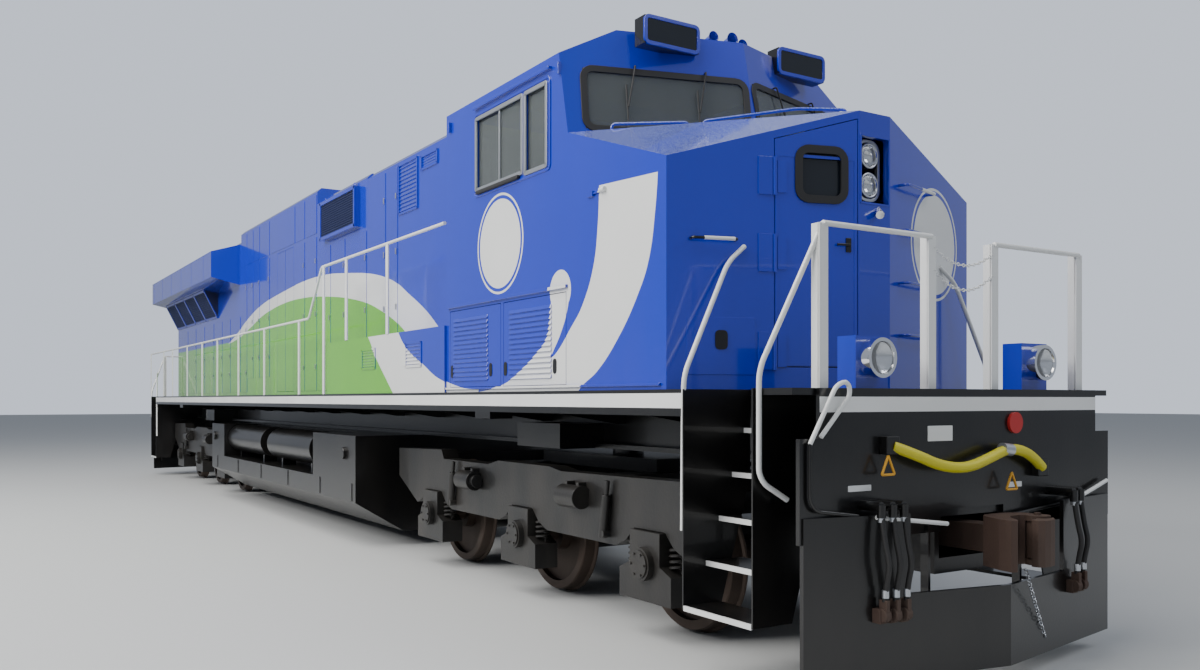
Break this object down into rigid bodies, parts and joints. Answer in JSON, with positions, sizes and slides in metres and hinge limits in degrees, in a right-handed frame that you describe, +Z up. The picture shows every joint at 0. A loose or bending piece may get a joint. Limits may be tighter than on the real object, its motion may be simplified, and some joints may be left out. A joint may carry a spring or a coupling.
{
  "type": "diesel locomotive",
  "caption": "Full-size six-axle diesel-electric freight locomotive with a wide-nose cab, hinged doors, swivelling bogies and swinging couplers.",
  "frame": {"origin": "under the middle of the locomotive, level with the wheel flange tips", "axes": "+X forward to the cab end, +Y to the left side, +Z up"},
  "size_m": [23, 3.124, 4.85],
  "materials": {
    "black": "gloss",
    "blue": "gloss",
    "board": "gloss",
    "coupler_iron": "rusty",
    "engine": "satin",
    "glass": "clear",
    "interior": "satin",
    "lamp": "polished",
    "running_gear": "satin",
    "screen": "satin",
    "seat": "woven",
    "wheel_steel": "worn",
    "white": "gloss"
  },
  "bodies": {
    "body": {"air_reservoirs": "black", "blower_housing": "blue", "cab_body": "blue", "cab_floor": "blue", "cab_roof": "blue", "centre_sills": "black", "control_desk": "interior", "corner_steps": "black", "crew_seats": "seat", "ditch_lights": "blue", "draft_pockets": "black", "end_handrails": "white", "engine_block": "engine", "engine_hood": "blue", "equipment_cabinet": "blue", "fuel_tank": "black", "handrail_left": "white", "handrail_right": "white", "headlights": "lamp", "horn": "blue", "nose_shell": "blue", "number_boards": "board", "pilot_front": "black", "pilot_rear": "black", "radiator_cabinet": "blue", "radiator_screens": "screen", "radiator_wings": "blue", "side_windows": "glass", "underframe": "black", "walkway_boxes": "blue", "windshields": "glass"},
    "bogie_front": {"bogie_frame_front": "running_gear", "journal_boxes_front": "running_gear", "traction_motors_front": "running_gear"},
    "axle_front_1": {"wheelset_front_1": "wheel_steel"},
    "axle_front_2": {"wheelset_front_2": "wheel_steel"},
    "axle_front_3": {"wheelset_front_3": "wheel_steel"},
    "coupler_front": {"coupler_front": "coupler_iron"},
    "knuckle_front": {"knuckle_front": "coupler_iron"},
    "bogie_rear": {"bogie_frame_rear": "running_gear", "journal_boxes_rear": "running_gear", "traction_motors_rear": "running_gear"},
    "axle_rear_1": {"wheelset_rear_1": "wheel_steel"},
    "axle_rear_2": {"wheelset_rear_2": "wheel_steel"},
    "axle_rear_3": {"wheelset_rear_3": "wheel_steel"},
    "coupler_rear": {"coupler_rear": "coupler_iron"},
    "knuckle_rear": {"knuckle_rear": "coupler_iron"},
    "nose_door": {"nose_door": "blue"},
    "cab_door_right": {"cab_door_right": "blue"},
    "locker_door_right_1": {"locker_door_right_1": "blue"},
    "locker_door_right_2": {"locker_door_right_2": "blue"},
    "engine_door_right_1": {"engine_door_right_1": "blue"},
    "engine_door_right_2": {"engine_door_right_2": "blue"},
    "cab_door_left": {"cab_door_left": "blue"},
    "locker_door_left_1": {"locker_door_left_1": "blue"},
    "locker_door_left_2": {"locker_door_left_2": "blue"},
    "engine_door_left_1": {"engine_door_left_1": "blue"},
    "engine_door_left_2": {"engine_door_left_2": "blue"}
  },
  "joints": [
    {"name": "bogie_front_swivel", "type": "hinge", "parent": "body", "child": "bogie_front", "pos_m": [7.05, 0, 1.2], "axis": [0, 0, 1], "range_deg": [-3.5, 3.5]},
    {"name": "axle_front_1_spin", "type": "hinge", "parent": "bogie_front", "child": "axle_front_1", "pos_m": [9.05, 0, 0.5615], "axis": [0, 1, 0], "continuous": true},
    {"name": "axle_front_2_spin", "type": "hinge", "parent": "bogie_front", "child": "axle_front_2", "pos_m": [7.05, 0, 0.5615], "axis": [0, 1, 0], "continuous": true},
    {"name": "axle_front_3_spin", "type": "hinge", "parent": "bogie_front", "child": "axle_front_3", "pos_m": [5.05, 0, 0.5615], "axis": [0, 1, 0], "continuous": true},
    {"name": "coupler_front_swing", "type": "hinge", "parent": "body", "child": "coupler_front", "pos_m": [10.62, 0, 0.907], "axis": [0, 0, 1], "range_deg": [-7, 7]},
    {"name": "knuckle_front_open", "type": "hinge", "parent": "coupler_front", "child": "knuckle_front", "pos_m": [11.35, 0.15, 0.907], "axis": [0, 0, 1], "range_deg": [0, 40]},
    {"name": "bogie_rear_swivel", "type": "hinge", "parent": "body", "child": "bogie_rear", "pos_m": [-7.05, 0, 1.2], "axis": [0, 0, 1], "range_deg": [-3.5, 3.5]},
    {"name": "axle_rear_1_spin", "type": "hinge", "parent": "bogie_rear", "child": "axle_rear_1", "pos_m": [-5.05, 0, 0.5615], "axis": [0, 1, 0], "continuous": true},
    {"name": "axle_rear_2_spin", "type": "hinge", "parent": "bogie_rear", "child": "axle_rear_2", "pos_m": [-7.05, 0, 0.5615], "axis": [0, 1, 0], "continuous": true},
    {"name": "axle_rear_3_spin", "type": "hinge", "parent": "bogie_rear", "child": "axle_rear_3", "pos_m": [-9.05, 0, 0.5615], "axis": [0, 1, 0], "continuous": true},
    {"name": "coupler_rear_swing", "type": "hinge", "parent": "body", "child": "coupler_rear", "pos_m": [-10.62, 0, 0.907], "axis": [0, 0, 1], "range_deg": [-7, 7]},
    {"name": "knuckle_rear_open", "type": "hinge", "parent": "coupler_rear", "child": "knuckle_rear", "pos_m": [-11.35, -0.15, 0.907], "axis": [0, 0, 1], "range_deg": [0, 40]},
    {"name": "nose_door_swing", "type": "hinge", "parent": "body", "child": "nose_door", "pos_m": [9.98446, -0.77478, 2.8], "axis": [0, 0, 1], "range_deg": [-90, 0]},
    {"name": "cab_door_right_swing", "type": "hinge", "parent": "body", "child": "cab_door_right", "pos_m": [6.2, -1.085, 3.4], "axis": [0, 0, 1], "range_deg": [-90, 0]},
    {"name": "locker_door_right_1_swing", "type": "hinge", "parent": "body", "child": "locker_door_right_1", "pos_m": [6.29, -1.527, 2.25], "axis": [0, 0, 1], "range_deg": [-100, 0]},
    {"name": "locker_door_right_2_swing", "type": "hinge", "parent": "body", "child": "locker_door_right_2", "pos_m": [8.45, -1.527, 2.25], "axis": [0, 0, 1], "range_deg": [0, 100]},
    {"name": "engine_door_right_1_swing", "type": "hinge", "parent": "body", "child": "engine_door_right_1", "pos_m": [-0.69, -1.05, 3], "axis": [0, 0, 1], "range_deg": [0, 90]},
    {"name": "engine_door_right_2_swing", "type": "hinge", "parent": "body", "child": "engine_door_right_2", "pos_m": [-1.63, -1.05, 3], "axis": [0, 0, 1], "range_deg": [-90, 0]},
    {"name": "cab_door_left_swing", "type": "hinge", "parent": "body", "child": "cab_door_left", "pos_m": [6.2, 1.085, 3.4], "axis": [0, 0, 1], "range_deg": [0, 90]},
    {"name": "locker_door_left_1_swing", "type": "hinge", "parent": "body", "child": "locker_door_left_1", "pos_m": [6.29, 1.527, 2.25], "axis": [0, 0, 1], "range_deg": [0, 100]},
    {"name": "locker_door_left_2_swing", "type": "hinge", "parent": "body", "child": "locker_door_left_2", "pos_m": [8.45, 1.527, 2.25], "axis": [0, 0, 1], "range_deg": [-100, 0]},
    {"name": "engine_door_left_1_swing", "type": "hinge", "parent": "body", "child": "engine_door_left_1", "pos_m": [-0.69, 1.05, 3], "axis": [0, 0, 1], "range_deg": [-90, 0]},
    {"name": "engine_door_left_2_swing", "type": "hinge", "parent": "body", "child": "engine_door_left_2", "pos_m": [-1.63, 1.05, 3], "axis": [0, 0, 1], "range_deg": [0, 90]}
  ]
}
